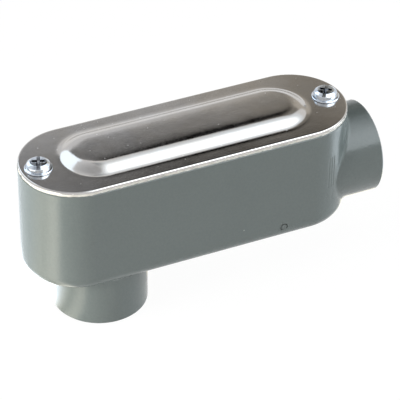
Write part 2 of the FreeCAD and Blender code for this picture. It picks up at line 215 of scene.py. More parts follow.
def makeHelixTree():
    # a profile swept along a spiral, which moves outwards by the run out over its last turn
    tree, names, given = treeWith("helixSweep", [
        ("Section", "NodeSocketObject"), ("Turns", "NodeSocketFloat"), ("Pitch", "NodeSocketFloat"),
        ("Start Radius", "NodeSocketFloat"), ("End Radius", "NodeSocketFloat"), ("Steps", "NodeSocketInt"),
        ("Run Out", "NodeSocketFloat"), ("Material", "NodeSocketMaterial")])
    height = calc(tree, "MULTIPLY", given["Turns"], given["Pitch"])
    spiral = addNode(tree, "GeometryNodeCurveSpiral", Resolution=given["Steps"], Rotations=given["Turns"],
                     Start_Radius=given["Start Radius"], End_Radius=given["End Radius"], Height=height,
                     Reverse=True)
    factor = tree.nodes.new("GeometryNodeSplineParameter").outputs["Factor"]
    late = addNode(tree, "ShaderNodeMapRange", {"interpolation_type": "SMOOTHSTEP"}, i0=factor,
                   i1=calc(tree, "SUBTRACT", 1.0, calc(tree, "DIVIDE", 1.0, given["Turns"])), i2=1.0,
                   i3=0.0, i4=1.0)
    inward = addNode(tree, "ShaderNodeVectorMath", {"operation": "MULTIPLY"},
                     i0=tree.nodes.new("GeometryNodeInputPosition").outputs[0], i1=(1, 1, 0))
    unit = addNode(tree, "ShaderNodeVectorMath", {"operation": "NORMALIZE"}, i0=inward.outputs[0])
    shift = addNode(tree, "ShaderNodeVectorMath", {"operation": "SCALE"}, i0=unit.outputs[0],
                    Scale=calc(tree, "MULTIPLY", late.outputs[0], given["Run Out"]))
    faded = addNode(tree, "GeometryNodeSetPosition", Geometry=spiral.outputs[0], Offset=shift.outputs[0])
    upright = addNode(tree, "GeometryNodeSetCurveNormal", {"mode": "Z_UP"}, Curve=faded.outputs[0])
    section = addNode(tree, "GeometryNodeObjectInfo", i0=given["Section"])
    swept = addNode(tree, "GeometryNodeCurveToMesh", Curve=upright.outputs[0],
                    Profile_Curve=section.outputs["Geometry"], Fill_Caps=True)
    finishTree(tree, swept.outputs[0], given["Material"])
    return tree, names


railTree, railNames = makeRailTree()
helixTree, helixNames = makeHelixTree()


def obroundShell(name, rails, arcSteps, material):
    section = sectionObject(name + "Section", rails)
    piece = runTree(railTree, railNames, {"Section": section, "Rails": len(rails), "Arc Steps": arcSteps,
                                          "Material": material}, name)
    bpy.data.objects.remove(section)
    tidyShell(piece.data)
    return piece


def helix(name, profile, turns, pitch, startRadius, endRadius, runOut, material, steps=64):
    # the profile is (outwards, along the axis) at each point, and the curve's own X points inwards
    section = sectionObject(name + "Section", [(-x, y, 0) for x, y in profile], cyclic=True)
    piece = runTree(helixTree, helixNames, {
        "Section": section, "Turns": turns, "Pitch": pitch, "Start Radius": startRadius,
        "End Radius": endRadius, "Steps": steps, "Run Out": runOut, "Material": material}, name)
    bpy.data.objects.remove(section)
    tidyShell(piece.data)
    return piece


print("geometry trees ready")


def roundedPath(corners, arcSteps=5):
    # (half width, half straight, height, round) at each corner, in mm; gives rails in metres
    rails = []
    last = len(corners) - 1
    for k, corner in enumerate(corners):
        point, radius = Vector(corner[:3]), corner[3]
        if radius == 0 or k in (0, last):
            rails.append(point * mm)
            continue
        toBefore = (Vector(corners[k - 1][:3]) - point).normalized()
        toAfter = (Vector(corners[k + 1][:3]) - point).normalized()
        halfAngle = toBefore.angle(toAfter) / 2
        reach = radius / math.tan(halfAngle)
        centre = point + (toBefore + toAfter).normalized() * radius / math.sin(halfAngle)
        start, end = point + toBefore * reach - centre, point + toAfter * reach - centre
        for step in range(arcSteps + 1):
            rails.append((centre + start.slerp(end, step / arcSteps) * radius) * mm)
    return [tuple(rail) for rail in rails]


def boxCentre(node):
    low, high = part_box(node)
    return (low + high) / 2


def cylinderAt(name, centre, radius, length, steps=48):
    bm = bmesh.new()
    bmesh.ops.create_cone(bm, cap_ends=True, segments=steps, radius1=radius, radius2=radius, depth=length)
    mesh = meshFrom(bm, name)
    mesh.transform(Matrix.Translation(centre))
    return newObject(name, mesh)


screwNodes = ("cover_screw_closed_end", "cover_screw_hub_end")


def screwHoles(height, radius, length=4 * mm):
    # cutters for the holes that the two screws pass through
    places = [(screw, boxCentre(screw)) for screw in screwNodes]
    return [cylinderAt(screw + "Hole", (spot.x, spot.y, height), radius, length) for screw, spot in places]


def objectCoords(tree, scale=(1, 1, 1), location=(0, 0, 0)):
    coords = tree.nodes.new("ShaderNodeTexCoord").outputs["Object"]
    return addNode(tree, "ShaderNodeMapping", i0=coords, Location=location, Scale=scale).outputs[0]


def noiseAt(tree, coords, scale, detail=3.0, roughness=0.55):
    return addNode(tree, "ShaderNodeTexNoise", Vector=coords, Scale=scale, Detail=detail,
                   Roughness=roughness).outputs["Fac"]


def rangeOf(tree, value, low, high, toLow=0.0, toHigh=1.0):
    return addNode(tree, "ShaderNodeMapRange", i0=value, i1=low, i2=high, i3=toLow, i4=toHigh).outputs[0]


def blendColours(tree, factor, first, second):
    node = tree.nodes.new("ShaderNodeMix")
    node.data_type = "RGBA"
    for key, value in (("Factor_Float", factor), ("A_Color", first), ("B_Color", second)):
        feed(tree, next(i for i in node.inputs if i.identifier == key), value)
    return next(o for o in node.outputs if o.identifier == "Result_Color")


def edgeMask(tree, radius, low, high):
    # how far the surface turns within a small radius
    bevel = addNode(tree, "ShaderNodeBevel", {"samples": 4}, Radius=radius)
    normal = tree.nodes.new("ShaderNodeNewGeometry").outputs["Normal"]
    turn = addNode(tree, "ShaderNodeVectorMath", {"operation": "DOT_PRODUCT"}, i0=bevel.outputs[0], i1=normal)
    return rangeOf(tree, turn.outputs["Value"], high, low)


def startFinish(name, **sockets):
    material = bpy.data.materials.new(name)
    material.use_nodes = True
    tree = material.node_tree
    shader = tree.nodes["Principled BSDF"]
    for label, value in sockets.items():
        feed(tree, shader.inputs[label.replace("_", " ")], value)
    return material, tree, shader


def speckMask(tree, coords, scale, size, share):
    # small round dots, in a share of the cells
    cells = addNode(tree, "ShaderNodeTexVoronoi", Vector=coords, Scale=scale, Randomness=1.0)
    lucky = addNode(tree, "ShaderNodeSeparateColor", i0=cells.outputs["Color"]).outputs[0]
    chosen = calc(tree, "LESS_THAN", lucky, share)
    dot = rangeOf(tree, cells.outputs["Distance"], size, size * 0.6)
    return calc(tree, "MULTIPLY", dot, chosen)


paintValues = {   # semi-gloss grey paint; the scales are patterns per metre
    "colour": (0.146, 0.172, 0.168), "shade": (0.134, 0.160, 0.156), "dust": (0.36, 0.38, 0.37),
    "pit": (0.03, 0.03, 0.03), "bareMetal": (0.50, 0.51, 0.50), "roughness": 0.19,
    "cloudScale": 38.0, "mottleScale": 1100.0, "patchScale": 260.0, "roughSpread": (-0.04, 0.06),
    "dustScale": 170.0, "dustSize": 0.055, "dustShare": 0.16,   # the share of cells that hold a dot
    "pitScale": 90.0, "pitSize": 0.034, "pitShare": 0.14,
    "edgeMaskRadius": 0.25, "wearScale": 420.0,   # radius of the edges where it is rubbed through, in mm
    "peelScale": 900.0, "peelStrength": 0.30, "flowScale": 120.0, "flowStrength": 0.14,
}


def makePaint():
    v = paintValues
    material, tree, shader = startFinish("satinGreyPaint", IOR=1.5)
    coords = objectCoords(tree)
    cloud = rangeOf(tree, noiseAt(tree, coords, v["cloudScale"], 4.0), 0.3, 0.7)
    fine = rangeOf(tree, noiseAt(tree, coords, v["mottleScale"], 2.0), 0.36, 0.64)
    mottle = calc(tree, "MULTIPLY_ADD", cloud, 0.4, calc(tree, "MULTIPLY", fine, 0.6))
    colour = blendColours(tree, mottle, v["colour"], v["shade"])
    dots = speckMask(tree, coords, v["dustScale"], v["dustSize"], v["dustShare"])
    colour = blendColours(tree, calc(tree, "MULTIPLY", dots, 0.8), colour, v["dust"])
    elsewhere = objectCoords(tree, location=(0.3, 0.1, 0.2))   # so that pits and dust don't meet
    pits = speckMask(tree, elsewhere, v["pitScale"], v["pitSize"], v["pitShare"])
    colour = blendColours(tree, calc(tree, "MULTIPLY", pits, 0.85), colour, v["pit"])
    edges = edgeMask(tree, v["edgeMaskRadius"] * mm, 0.72, 0.93)
    wear = rangeOf(tree, noiseAt(tree, coords, v["wearScale"], 3.0), 0.50, 0.66)
    rubbed = calc(tree, "MULTIPLY", edges, wear)
    colour = blendColours(tree, calc(tree, "MULTIPLY", rubbed, 0.75), colour, v["bareMetal"])
    feed(tree, shader.inputs["Base Color"], colour)
    feed(tree, shader.inputs["Metallic"], calc(tree, "MULTIPLY", rubbed, 0.7))
    smoothest, roughest = (v["roughness"] + change for change in v["roughSpread"])
    rough = rangeOf(tree, noiseAt(tree, coords, v["patchScale"], 3.0), 0.3, 0.7, smoothest, roughest)
    feed(tree, shader.inputs["Roughness"], rough)
    peel = addNode(tree, "ShaderNodeBump", Strength=v["peelStrength"], Distance=0.2 * mm,
                   Height=noiseAt(tree, coords, v["peelScale"], 2.0))
    flow = addNode(tree, "ShaderNodeBump", Strength=v["flowStrength"], Distance=0.6 * mm,
                   Normal=peel.outputs[0], Height=noiseAt(tree, coords, v["flowScale"], 1.5))
    feed(tree, shader.inputs["Normal"], flow.outputs[0])
    return material


steelValues = {   # rolled steel sheet, bare and bright along its sheared edges, with a painted highlight there as well
    "colour": (0.56, 0.55, 0.545), "warm": (0.52, 0.495, 0.465), "speck": (0.86, 0.86, 0.86),
    "edge": (0.96, 0.95, 0.92), "edgeMaskRadius": 0.45,   # radius of the bright edges and their painted highlight, in mm
    "roughness": 0.135, "mottle": 0.025, "cloudScale": 70.0, "patchScale": 190.0,
    "speckScale": 680.0, "speckSize": 0.18, "speckShare": 0.11, "speckRoughness": 0.22,
    "grainScale": 1400.0, "grainStrength": 0.06, "waveScale": 95.0, "waveStrength": 0.035,
}


def makeCoverSteel():
    v = steelValues
    material, tree, shader = startFinish("stampedSteel", Metallic=1.0, IOR=1.5)
    coords = objectCoords(tree)
    cloud = rangeOf(tree, noiseAt(tree, coords, v["cloudScale"], 5.0, 0.65), 0.32, 0.68)
    colour = blendColours(tree, cloud, v["colour"], v["warm"])
    specks = speckMask(tree, coords, v["speckScale"], v["speckSize"], v["speckShare"])
    colour = blendColours(tree, calc(tree, "MULTIPLY", specks, 0.6), colour, v["speck"])
    # painted highlight: the colour goes near white along the rolled and sheared edges, partly bare metal and
    # partly standing in for the highlight there
    edges = edgeMask(tree, v["edgeMaskRadius"] * mm, 0.80, 0.96)
    colour = blendColours(tree, calc(tree, "MULTIPLY", edges, 0.95), colour, v["edge"])
    feed(tree, shader.inputs["Base Color"], colour)
    fine = noiseAt(tree, coords, v["grainScale"], 2.0)
    rough = rangeOf(tree, noiseAt(tree, coords, v["patchScale"], 4.0, 0.7), 0.3, 0.7,
                    v["roughness"] - v["mottle"], v["roughness"] + v["mottle"])
    rough = calc(tree, "ADD", rough, rangeOf(tree, fine, 0.3, 0.7, -0.02, 0.03))
    feed(tree, shader.inputs["Roughness"], calc(tree, "MULTIPLY_ADD", specks, v["speckRoughness"], rough))
    grain = addNode(tree, "ShaderNodeBump", Strength=v["grainStrength"], Distance=0.1 * mm, Height=fine)
    wave = addNode(tree, "ShaderNodeBump", Strength=v["waveStrength"], Distance=0.8 * mm,
                   Normal=grain.outputs[0], Height=noiseAt(tree, coords, v["waveScale"], 2.0))
    feed(tree, shader.inputs["Normal"], wave.outputs[0])
    return material


fibreValues = {   # pressed fibre sheet
    "dark": (0.70, 0.67, 0.60), "light": (0.86, 0.84, 0.79), "smudge": (0.42, 0.41, 0.38),
    "fibreScale": 520.0, "smudgeScale": 160.0, "pileScale": 1600.0, "pileStrength": 0.4,
    "layering": (1, 1, 3),      # the fibres lie flat, so the pattern is squeezed in height
}


def makeGasketFinish():
    v = fibreValues
    material, tree, shader = startFinish("creamGasket", Roughness=0.8, IOR=1.45)
    coords = objectCoords(tree)
    layered = objectCoords(tree, scale=v["layering"])
    fibres = rangeOf(tree, noiseAt(tree, layered, v["fibreScale"], 4.0, 0.7), 0.32, 0.68)
    colour = blendColours(tree, fibres, v["dark"], v["light"])
    smudge = rangeOf(tree, noiseAt(tree, coords, v["smudgeScale"], 3.0), 0.56, 0.70)
    colour = blendColours(tree, calc(tree, "MULTIPLY", smudge, 0.6), colour, v["smudge"])
    feed(tree, shader.inputs["Base Color"], colour)
    pile = addNode(tree, "ShaderNodeBump", Strength=v["pileStrength"], Distance=0.1 * mm,
                   Height=noiseAt(tree, coords, v["pileScale"], 3.0))
    feed(tree, shader.inputs["Normal"], pile.outputs[0])
    return material


zincValues = {   # bright zinc plate, with painted shade darkening its recesses
    "light": (0.74, 0.78, 0.83), "dark": (0.50, 0.56, 0.64), "recessShade": (0.03, 0.035, 0.05),
    "recessShadeReach": 1.7,          # in mm
    "smoothest": 0.06, "roughest": 0.14,
    "cloudScale": 500.0, "patchScale": 900.0, "waveScale": 650.0, "waveStrength": 0.25,
}


def makeZinc():
    v = zincValues
    material, tree, shader = startFinish("brightZinc", Metallic=1.0, IOR=1.5)
    coords = objectCoords(tree)
    cloud = rangeOf(tree, noiseAt(tree, coords, v["cloudScale"], 3.0), 0.35, 0.65)
    colour = blendColours(tree, cloud, v["light"], v["dark"])
    # painted shade: the colour goes nearly black where ambient occlusion finds the surface hemmed in, in the
    # slot, the cross and under the head
    cleft = addNode(tree, "ShaderNodeAmbientOcclusion", {"samples": 6}, Distance=v["recessShadeReach"] * mm)
    recessShade = rangeOf(tree, cleft.outputs["AO"], 0.80, 0.42)
    colour = blendColours(tree, calc(tree, "MULTIPLY", recessShade, 0.93), colour, v["recessShade"])
    feed(tree, shader.inputs["Base Color"], colour)
    patches = noiseAt(tree, coords, v["patchScale"], 3.0)
    rough = rangeOf(tree, patches, 0.3, 0.7, v["smoothest"], v["roughest"])
    feed(tree, shader.inputs["Roughness"], rough)
    wave = addNode(tree, "ShaderNodeBump", Strength=v["waveStrength"], Distance=0.15 * mm,
                   Height=noiseAt(tree, coords, v["waveScale"], 2.0))
    feed(tree, shader.inputs["Normal"], wave.outputs[0])
    return material


paint, coverSteel, gasketFinish, zinc = makePaint(), makeCoverSteel(), makeGasketFinish(), makeZinc()
print("finishes ready")


threadValues = {   # 3/4 inch pipe thread, in mm
    "pitch": 25.4 / 14, "depth": 1.35, "rootFlat": 0.12, "crestFlat": 0.12, "taper": 1 / 32, "length": 15.0,
    "overlap": 0.3, "overlapDraft": 0.05,   # how far the cutter starts inside the bore, and narrows there
}


def threadCutter(name, mount):
    v = threadValues
    bore = next(m for m in frame["record"]["mounts"] if m["name"] == mount)
    radius = bore["dims"]["r_mm"]
    half = (v["pitch"] - v["crestFlat"]) / 2
    root = v["rootFlat"] / 2
    inside, narrow = -v["overlap"], half - v["overlapDraft"]
    profile = [(inside, -narrow), (0, -half), (v["depth"], -root), (v["depth"], root), (0, half),
               (inside, narrow)]
    turns = (v["length"] + v["pitch"]) / v["pitch"]
    drop = turns * v["pitch"] * v["taper"]
    cutter = helix(name, [(x * mm, y * mm) for x, y in profile], turns, v["pitch"] * mm, radius * mm,
                   (radius - drop) * mm, -v["depth"] * mm, paint)
    inward = -Vector(bore["axis"])
    turn = Vector((0, 0, 1)).rotation_difference(inward).to_matrix().to_4x4()
    cutter.data.transform(Matrix.Translation(Vector(bore["pos_m"]) - inward * v["pitch"] * mm) @ turn)
    return cutter


castMarks = {   # small marks that the die leaves on the outside, in mm
    "boxBack": 19.0,            # height of the box's back face
    "coverStep": 0.15,          # the box stands this far outside the cover
    "pinAlong": 0.745,          # ejector pin's place, as a share of the cover's length
    "pinUp": 5.6, "pinRadius": 1.25, "pinGroove": 0.14,
    "fluteTurns": (-72, -68.5, -65), "fluteRadius": 0.9, "fluteDepth": 0.11,
    "fluteBottom": 17.0, "fluteTop": 30.0,
}


def ringCutter(name, radius, thick, steps=40, around=8):
    # a thin ring lying in the XZ plane
    bm = bmesh.new()
    tilts = [2 * math.pi * j / around for j in range(around)]
    rings = []
    for k in range(steps):
        turn = 2 * math.pi * k / steps
        out = Vector((math.cos(turn), 0, math.sin(turn)))
        places = [out * (radius + thick * math.cos(tilt)) + Vector((0, thick * math.sin(tilt), 0))
                  for tilt in tilts]
        rings.append([bm.verts.new(place) for place in places])
    for k in range(steps):
        for j in range(around):
            bm.faces.new((rings[k][j], rings[k - 1][j], rings[k - 1][j - 1], rings[k][j - 1]))
    return meshFrom(bm, name)


def markCutters():
    v = castMarks
    low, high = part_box("cover")
    step = v["coverStep"] * mm
    radius = high.y + step
    endCentre = high.x + step - radius
    pin = ringCutter("pinMark", v["pinRadius"] * mm, v["pinGroove"] * mm)
    along = low.x + (high.x - low.x) * v["pinAlong"]
    pin.transform(Matrix.Translation((along, -radius, (v["boxBack"] + v["pinUp"]) * mm)))
    cutters = [newObject("pinMark", pin)]
    middle = v["boxBack"] + (v["fluteBottom"] + v["fluteTop"]) / 2
    length = v["fluteTop"] - v["fluteBottom"]
    reach = radius + (v["fluteRadius"] - v["fluteDepth"]) * mm
    for k, turn in enumerate(v["fluteTurns"]):
        angle = math.radians(turn)
        spot = Vector((endCentre + reach * math.cos(angle), reach * math.sin(angle), middle * mm))
        cutters.append(cylinderAt("flute%d" % k, spot, v["fluteRadius"] * mm, length * mm, steps=32))
    return cutters


def makeCasting():
    mesh = frame["nodes"]["body_casting"].data.copy()
    casting = newObject("casting", mesh)
    if mesh.has_custom_normals:
        with bpy.context.temp_override(object=casting, active_object=casting):
            bpy.ops.mesh.customdata_custom_splitnormals_clear()
    tidyShell(mesh, 0.002 * mm)
    cutters = [threadCutter("backThread", "back_hub_thread"), threadCutter("endThread", "end_hub_thread")]
    cutters += markCutters()
    casting = combine(casting, cutters, "DIFFERENCE", "casting")
    dress(casting, paint)
    smooth(casting, 32)
    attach(casting, "root")
    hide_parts("body_casting")
    return casting


casting = makeCasting()
print("casting:", len(casting.data.polygons), "faces")


coverValues = {   # in mm
    "sheet": 0.95, "panelEnd": 14.75, "panelSide": 6.40,   # from the cover's edge to the panel's foot
    "slope": 4.2, "footBend": 5.0, "topBend": 9.0, "shoulder": 2.4, "rim": 0.9,
    "crown": 0.13, "crownPower": 4, "crownEnd": 3.0, "crownSteps": 8,
    "edgeRound": 0.55, "shearRound": 0.15, "holeRadius": 2.4, "arcSteps": 48,
}


def crownedTop(edge, straight, height):
    # rails over the panel's top, from its middle to near its bend, a little lower towards the bend
    v = coverValues
    places = [(edge - v["crownEnd"]) * k / v["crownSteps"] for k in range(v["crownSteps"] + 1)]
    return [(place, straight, height - v["crown"] * (place / edge) ** v["crownPower"], 0)
            for place in places]


def makeCover():
    v = coverValues
    low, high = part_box("cover")
    size = (high - low) / mm
    outer, outerStraight = size.y / 2, (size.x - size.y) / 2
    foot = outer - v["panelSide"]
    straight = outerStraight + outer - v["panelEnd"] - foot
    sheet, rise = v["sheet"], size.z - v["sheet"]
    under = sheet * math.tan(math.atan2(rise, v["slope"]) / 2)
    shoulder, rim = foot + v["shoulder"], outer - v["rim"]
    topEdge = foot - v["slope"]
    corners = crownedTop(topEdge, straight, size.z) + [
        (topEdge, straight, size.z - v["crown"], v["topBend"]), (foot, straight, sheet, v["footBend"]),
        (shoulder, straight, sheet, 0), (rim, outerStraight, sheet, 0),
        (outer, outerStraight, sheet, v["edgeRound"]), (outer, outerStraight, 0, v["shearRound"]),
        (rim, outerStraight, 0, 0), (shoulder, straight, 0, 0),
        (foot - under, straight, 0, v["footBend"] + sheet),
        (topEdge - under, straight, rise - v["crown"], v["topBend"] - sheet),
    ] + crownedTop(topEdge - under, straight, rise)[::-1]
    cover = obroundShell("stampedCover", roundedPath(corners), v["arcSteps"], coverSteel)
    middle = boxCentre("cover")
    cover.data.transform(Matrix.Translation((middle.x, middle.y, low.z)))
    cover = combine(cover, screwHoles(low.z, v["holeRadius"] * mm), "DIFFERENCE", "stampedCover")
    dress(cover, coverSteel)
    smooth(cover, 38)
    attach(cover, "root")
    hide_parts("cover")
    return cover


cover = makeCover()
print("cover:", len(cover.data.polygons), "faces")


gasketValues = {   # in mm
    "band": 4.5, "screwGap": 4.4, "inset": 0.06, "holeRadius": 2.4,
    "arcSteps": 72, "layers": 4, "longEdge": 10, "straightSteps": 110,   # edges past longEdge are divided
    "ragged": 0.24, "raggedBand": 0.4, "bite": 0.45, "biteSpread": 0.9,   # the edge's shape as die-cut
    "waveLength": 1.1, "waveRoughness": 0.6, "waveRatio": 2.2, "waveOctaves": 3,
}


def fray(bm, outer, straight):
    # the outer edge is moved in by a noise, along the way out from the obround's own middle line
    v = gasketValues
    for vert in bm.verts:
        x, y, _ = vert.co
        across = Vector((max(abs(x) - straight * mm, 0) * math.copysign(1, x), y, 0))
        if across.length > (outer - v["raggedBand"]) * mm:
            place = vert.co / (v["waveLength"] * mm)
            wave = noise.fractal(place, v["waveRoughness"], v["waveRatio"], v["waveOctaves"],
                                 noise_basis="PERLIN_ORIGINAL")
            vert.co -= across.normalized() * v["ragged"] * mm * (v["bite"] + v["biteSpread"] * wave)


def makeGasket():
    v = gasketValues
    low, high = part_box("cover_gasket")
    size = (high - low) / mm
    outer, outerStraight = size.y / 2 - v["inset"], (size.x - size.y) / 2
    inner = size.y / 2 - v["band"]
    middle = boxCentre("cover_gasket")
    screwReach = (boxCentre("cover_screw_hub_end").x - middle.x) / mm
    innerStraight = screwReach - v["screwGap"] - inner
    rails = [(inner, innerStraight, 0)]
    rails += [(outer, outerStraight, size.z * k / v["layers"]) for k in range(v["layers"] + 1)]
    rails += [(inner, innerStraight, size.z), (inner, innerStraight, 0)]
    rails = [tuple(c * mm for c in rail) for rail in rails]
    gasket = obroundShell("gasket", rails, v["arcSteps"], gasketFinish)
    bm = bmesh.new()
    bm.from_mesh(gasket.data)
    straights = [e for e in bm.edges if e.calc_length() > v["longEdge"] * mm]
    bmesh.ops.subdivide_edges(bm, edges=straights, cuts=v["straightSteps"], use_grid_fill=False)
    fray(bm, outer, outerStraight)
    bmesh.ops.triangulate(bm, faces=bm.faces)
    bm.to_mesh(gasket.data)
    bm.free()
    gasket.data.transform(Matrix.Translation((middle.x, middle.y, low.z)))
    gasket = combine(gasket, screwHoles(low.z, v["holeRadius"] * mm), "DIFFERENCE", "gasket")
    dress(gasket, gasketFinish)
    smooth(gasket, 40, weighted=False)
    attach(gasket, "root")
    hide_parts("cover_gasket")
    return gasket


gasket = makeGasket()
print("gasket:", len(gasket.data.polygons), "faces")


screwValues = {   # number 8 screw with a washer flange, in mm
    "flangeRadius": 5.0, "flangeFoot": 0.06, "flangeEdge": 0.30, "flangeTop": 0.62,
    "flangeBreak": 0.12, "flangeShoulder": 0.25,
    "headRadius": 4.1, "headFoot": 0.03, "headDraft": 0.02, "shoulderHeight": 2.05, "headTop": 3.0,
    "crownRadius": 3.0, "crownDrop": 0.24, "edgeBreak": 0.07, "arcSteps": 33,
    "coreRadius": 1.6, "neck": 0.5, "tip": 0.6, "length": 9.5,
    "threadRadius": 2.03, "pitch": 25.4 / 32, "threadEnds": 1.6, "ridgeFoot": 0.33, "ridgeTop": 0.05,
    "ridgeOverlap": 0.25, "slotLength": 12, "slotWidth": 1.15, "slotDepth": 1.0,
    "crossLength": 6.2, "crossWidth": 1.5, "crossFloorLength": 1.6, "crossFloorWidth": 0.6875,
    "crossDepth": 2.0, "cutterAbove": 1,
    "slotAngles": {"cover_screw_closed_end": 68, "cover_screw_hub_end": 53},
    "names": {"cover_screw_closed_end": "closedEndScrew", "cover_screw_hub_end": "hubEndScrew"},
}


def taperedBar(name, length, width, bottomLength, bottomWidth, top, bottom, angle):
    bm = bmesh.new()
    bmesh.ops.create_cube(bm, size=1)
    for vert in bm.verts:
        up = vert.co.z > 0
        vert.co.x *= length if up else bottomLength
        vert.co.y *= width if up else bottomWidth
        vert.co.z = top if up else bottom
    mesh = meshFrom(bm, name)
    mesh.transform(Matrix.Rotation(math.radians(angle), 4, "Z") @ Matrix.Scale(mm, 4))
    return newObject(name, mesh)


def screwBlank(node):
    # head, flange and core, as one turned shape
    v = screwValues
    flange, head, core = v["flangeRadius"], v["headRadius"], v["coreRadius"]
    top, length, notch = v["headTop"], v["length"], v["flangeBreak"]
    # the crown drops a quarter of its drop at half its radius, as a parabola does
    corners = [
        (0, 0, top, 0), (v["crownRadius"] * 0.5, 0, top - v["crownDrop"] * 0.25, 0),
        (v["crownRadius"], 0, top - v["crownDrop"], 0.8), (head, 0, v["shoulderHeight"], 0.4),
        (head + v["headDraft"], 0, v["flangeTop"] + v["headFoot"], 0.10),
        (flange - v["flangeShoulder"], 0, v["flangeTop"] - notch, 0.12),
        (flange, 0, v["flangeEdge"], 0.12), (flange, 0, v["flangeFoot"], 0.05), (flange - notch, 0, 0, 0.05),
        (core + v["neck"], 0, 0, 0), (core, 0, -v["neck"], 0.2),
        (core, 0, v["tip"] - length, 0), (core - v["tip"], 0, -length, 0), (0, 0, -length, 0),
    ]
    return obroundShell(node + "Blank", roundedPath(corners, 4), v["arcSteps"], zinc)


def screwThread(node):
    v = screwValues
    turns = (v["length"] - v["threadEnds"]) / v["pitch"]
    height = v["threadRadius"] - v["coreRadius"]
    foot, top, inside = v["ridgeFoot"], v["ridgeTop"], -v["ridgeOverlap"]
    ridge = [(inside, -foot), (0, -foot), (height, -top), (height, top), (0, foot), (inside, foot)]
    thread = helix(node + "Thread", [(x * mm, y * mm) for x, y in ridge], turns, v["pitch"] * mm,
                   v["coreRadius"] * mm, v["coreRadius"] * mm, -height * mm, zinc, steps=36)
    thread.data.transform(Matrix.Translation((0, 0, (v["tip"] - v["length"]) * mm)))
    return thread


def recessCutters(node):
    # the slot, and the two arms of the cross, which narrow towards their floor
    v = screwValues
    angle, above = v["slotAngles"][node], v["headTop"] + v["cutterAbove"]
    cutters = [taperedBar(node + "Slot", v["slotLength"], v["slotWidth"], v["slotLength"], v["slotWidth"],
                          above, v["headTop"] - v["slotDepth"], angle)]
    for k in (0, 90):
        cutters.append(taperedBar("%sArm%d" % (node, k), v["crossLength"], v["crossWidth"],
                                  v["crossFloorLength"], v["crossFloorWidth"], above,
                                  v["headTop"] - v["crossDepth"], angle + k))
    return cutters


def makeScrew(node):
    v = screwValues
    screw = combine(screwBlank(node), [screwThread(node)], "UNION", node + "Body")
    screw = combine(screw, recessCutters(node), "DIFFERENCE", node + "Cut")
    edge = screw.modifiers.new("edgeBreak", "BEVEL")
    edge.width, edge.segments, edge.limit_method = v["edgeBreak"] * mm, 2, "ANGLE"
    edge.angle_limit = math.radians(38)
    screw = settle(screw, v["names"][node])
    middle, highest = boxCentre(node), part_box(node)[1].z
    screw.data.transform(Matrix.Translation((middle.x, middle.y, highest - v["headTop"] * mm)))
    dress(screw, zinc)
    smooth(screw, 35)
    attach(screw, "root")
    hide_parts(node)
    return screw


screws = [makeScrew(node) for node in screwNodes]
print("screws:", [len(s.data.polygons) for s in screws], "faces")


cameraValues = {   # turn and tilt in degrees, the rest in metres
    "turn": -24.89771, "tilt": 36.66349, "roll": 0.70081, "distance": 0.7621, "focal": 195.8,
    "pivot": (0.03345, 0.0, 0.0604), "right": 0.005118, "down": 0.022648,
}


def makeCamera():
    v = cameraValues
    turn, tilt, roll = (math.radians(v[k]) for k in ("turn", "tilt", "roll"))
    back = Vector((math.sin(turn) * math.cos(tilt), -math.cos(turn) * math.cos(tilt), math.sin(tilt)))
    level = Vector((math.cos(turn), math.sin(turn), 0))
    upright = back.cross(level)
    right = math.cos(roll) * level + math.sin(roll) * upright
    up = math.cos(roll) * upright - math.sin(roll) * level
    data = bpy.data.cameras.new("studioCamera")
    data.lens, data.sensor_width, data.clip_end = v["focal"], 36, 20
    data.clip_start = 0.01
    camera = newObject("studioCamera", data)
    place = Vector(v["pivot"]) + right * v["right"] - up * v["down"] + back * v["distance"]
    camera.matrix_world = Matrix.Translation(place) @ Matrix((right, up, back)).transposed().to_4x4()
    scene.camera = camera


makeCamera()
print("camera ready")


studioValues = {   # places and sizes in metres
    "middle": (0.033, 0.0, 0.06), "fill": 0.20,   # the world's light on matt surfaces
    "floorSize": 6.0, "floorColour": 0.80, "floorGlow": 1.03, "floorGlowShare": 0.93,
}


def areaLamp(name, power, size, place, colour):
    # lights the matt surfaces only; the cards below are what shiny ones mirror
    data = bpy.data.lights.new(name, "AREA")
    data.energy, data.size, data.color = power, size, colour
    lamp = newObject(name, data)
    aim = (Vector(studioValues["middle"]) - Vector(place)).to_track_quat("-Z", "Y")
    lamp.matrix_world = Matrix.Translation(place) @ aim.to_matrix().to_4x4()
    lamp.visible_camera = lamp.visible_glossy = False


def seenDirectly(tree):
    # 1 where the camera, a mirror or a clear surface looks, 0 for the light on matt surfaces
    path = tree.nodes.new("ShaderNodeLightPath").outputs
    seen = calc(tree, "MAXIMUM", path["Is Camera Ray"], path["Is Glossy Ray"])
    return calc(tree, "MAXIMUM", seen, path["Is Transmission Ray"])


def planeMesh(name, width, height):
    bm = bmesh.new()
    bmesh.ops.create_grid(bm, x_segments=1, y_segments=1, size=0.5)
    mesh = meshFrom(bm, name)
    mesh.transform(Matrix.Diagonal((width, height, 1, 1)))
    return mesh


def mirrorCard(name, width, height, place, facing, paintCard):
    # a glowing sheet that only mirror-like surfaces see
    # from the side that it faces, its own X points right and its own Y up
    card = newObject(name, planeMesh(name, width, height))
    if facing[0] or facing[1]:
        card.matrix_world = Vector(facing).to_track_quat("Z", "Y").to_matrix().to_4x4()
    elif facing[2] < 0:
        card.matrix_world = Matrix.Rotation(math.pi, 4, "X")
    card.matrix_world.translation = place
    card.visible_camera = card.visible_diffuse = card.visible_shadow = False
    card.visible_transmission = False
    material = bpy.data.materials.new(name)
    material.use_nodes = True
    tree = material.node_tree
    tree.nodes.clear()
    glow = tree.nodes.new("ShaderNodeEmission")
    for value, socket in zip(paintCard(tree), glow.inputs):
        feed(tree, socket, value)
    output = tree.nodes.new("ShaderNodeOutputMaterial")
    tree.links.new(glow.outputs[0], output.inputs["Surface"])
    card.data.materials.append(material)


def cardPlace(tree):
    coords = tree.nodes.new("ShaderNodeTexCoord").outputs["Object"]
    return addNode(tree, "ShaderNodeSeparateXYZ", i0=coords).outputs


